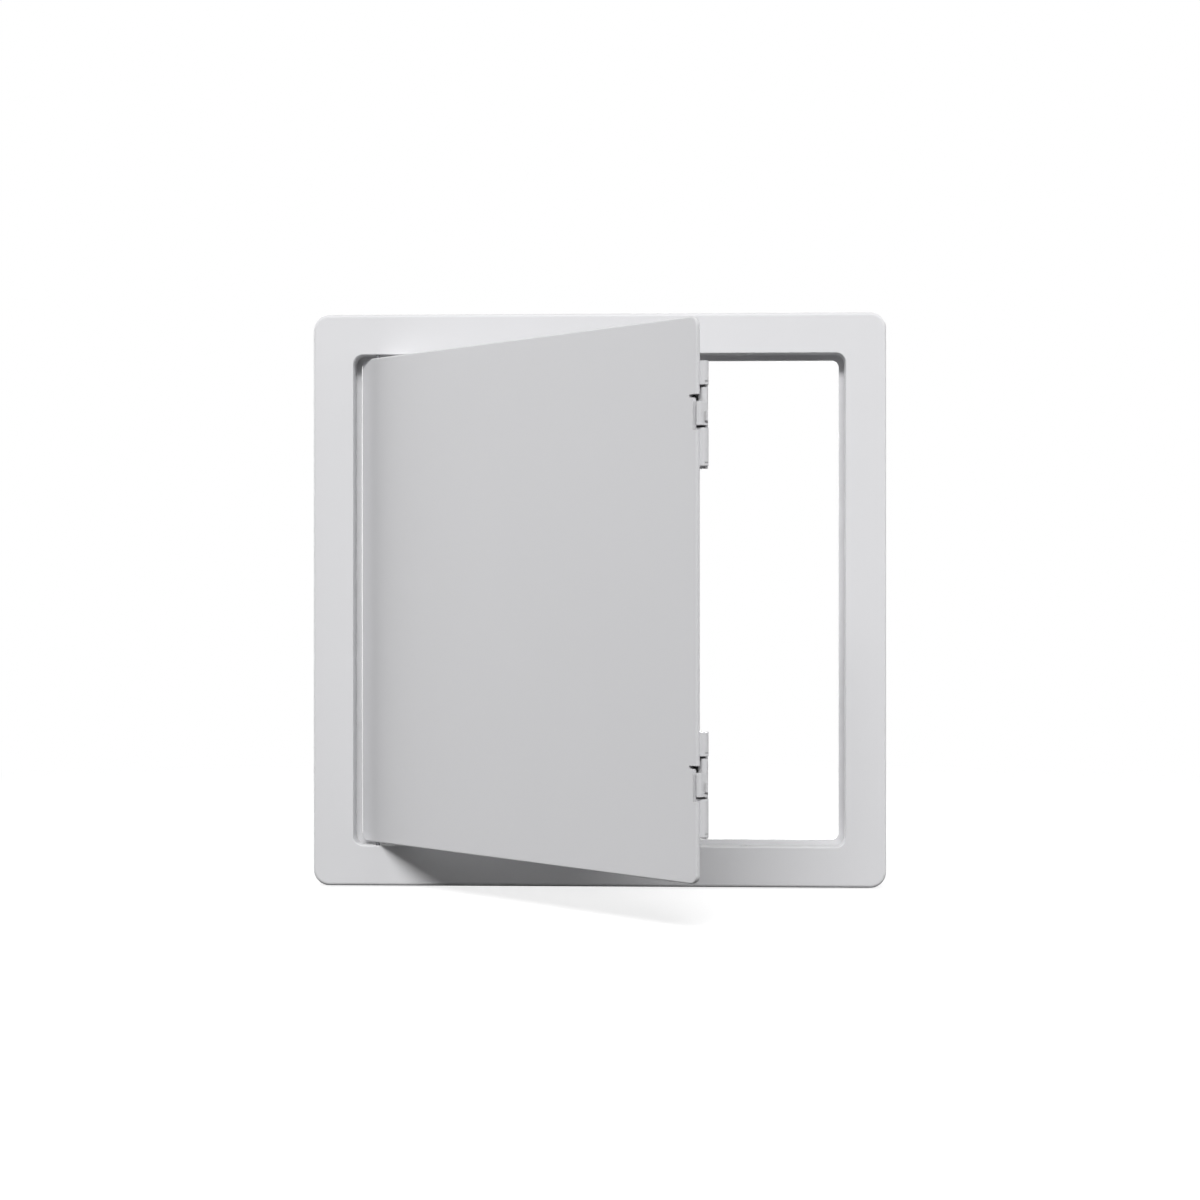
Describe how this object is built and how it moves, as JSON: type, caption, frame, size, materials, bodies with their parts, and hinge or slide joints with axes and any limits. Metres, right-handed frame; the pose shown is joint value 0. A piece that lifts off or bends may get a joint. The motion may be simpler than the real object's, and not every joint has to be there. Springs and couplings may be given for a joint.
{
  "type": "access panel",
  "caption": "Square flush access panel: a moulded frame with collar and rear lip, and a door on concealed pivot pins that snaps shut with sprung edge latches.",
  "frame": {"origin": "centre of the opening on the wall face, which is the back of the flange", "axes": "+Y from the room into the wall or ceiling, +Z up along the hinge axis, +X from the hinge side to the latch side; in a ceiling +Y points up"},
  "size_m": [0.355, 0.2233, 0.355],
  "materials": {
    "frame_plastic": "satin",
    "door_plastic": "satin",
    "latch_plastic": "satin",
    "pin_steel": "brushed",
    "spring_steel": "brushed",
    "screw_steel": "zinc plated"
  },
  "bodies": {
    "frame": {"frame": "frame_plastic"},
    "door": {"door_panel": "door_plastic", "hinge_pin_upper": "pin_steel", "hinge_pin_lower": "pin_steel", "latch_clip_upper": "latch_plastic", "latch_clip_lower": "latch_plastic", "latch_pin_upper": "pin_steel", "latch_pin_lower": "pin_steel", "latch_spring_upper": "spring_steel", "latch_spring_lower": "spring_steel", "latch_screws_upper": "screw_steel", "latch_screws_lower": "screw_steel"},
    "lever_upper": {"latch_lever_upper": "latch_plastic"},
    "lever_lower": {"latch_lever_lower": "latch_plastic"}
  },
  "joints": [
    {"name": "door_hinge", "type": "hinge", "parent": "frame", "child": "door", "pos_m": [-0.1375, -0.0019, 0], "axis": [0, 0, -1], "range_deg": [-46, 104]},
    {"name": "latch_lever_upper_pivot", "type": "hinge", "parent": "door", "child": "lever_upper", "pos_m": [0.06056, -0.20405, 0.11075], "axis": [0.7193, 0.6947, 0], "range_deg": [0, 4], "stiffness_Nm_per_rad": 0.2, "deforming": ["latch_spring_upper"]},
    {"name": "latch_lever_lower_pivot", "type": "hinge", "parent": "door", "child": "lever_lower", "pos_m": [0.06056, -0.20405, -0.08605], "axis": [0.7193, 0.6947, 0], "range_deg": [0, 4], "stiffness_Nm_per_rad": 0.2, "deforming": ["latch_spring_lower"]}
  ]
}
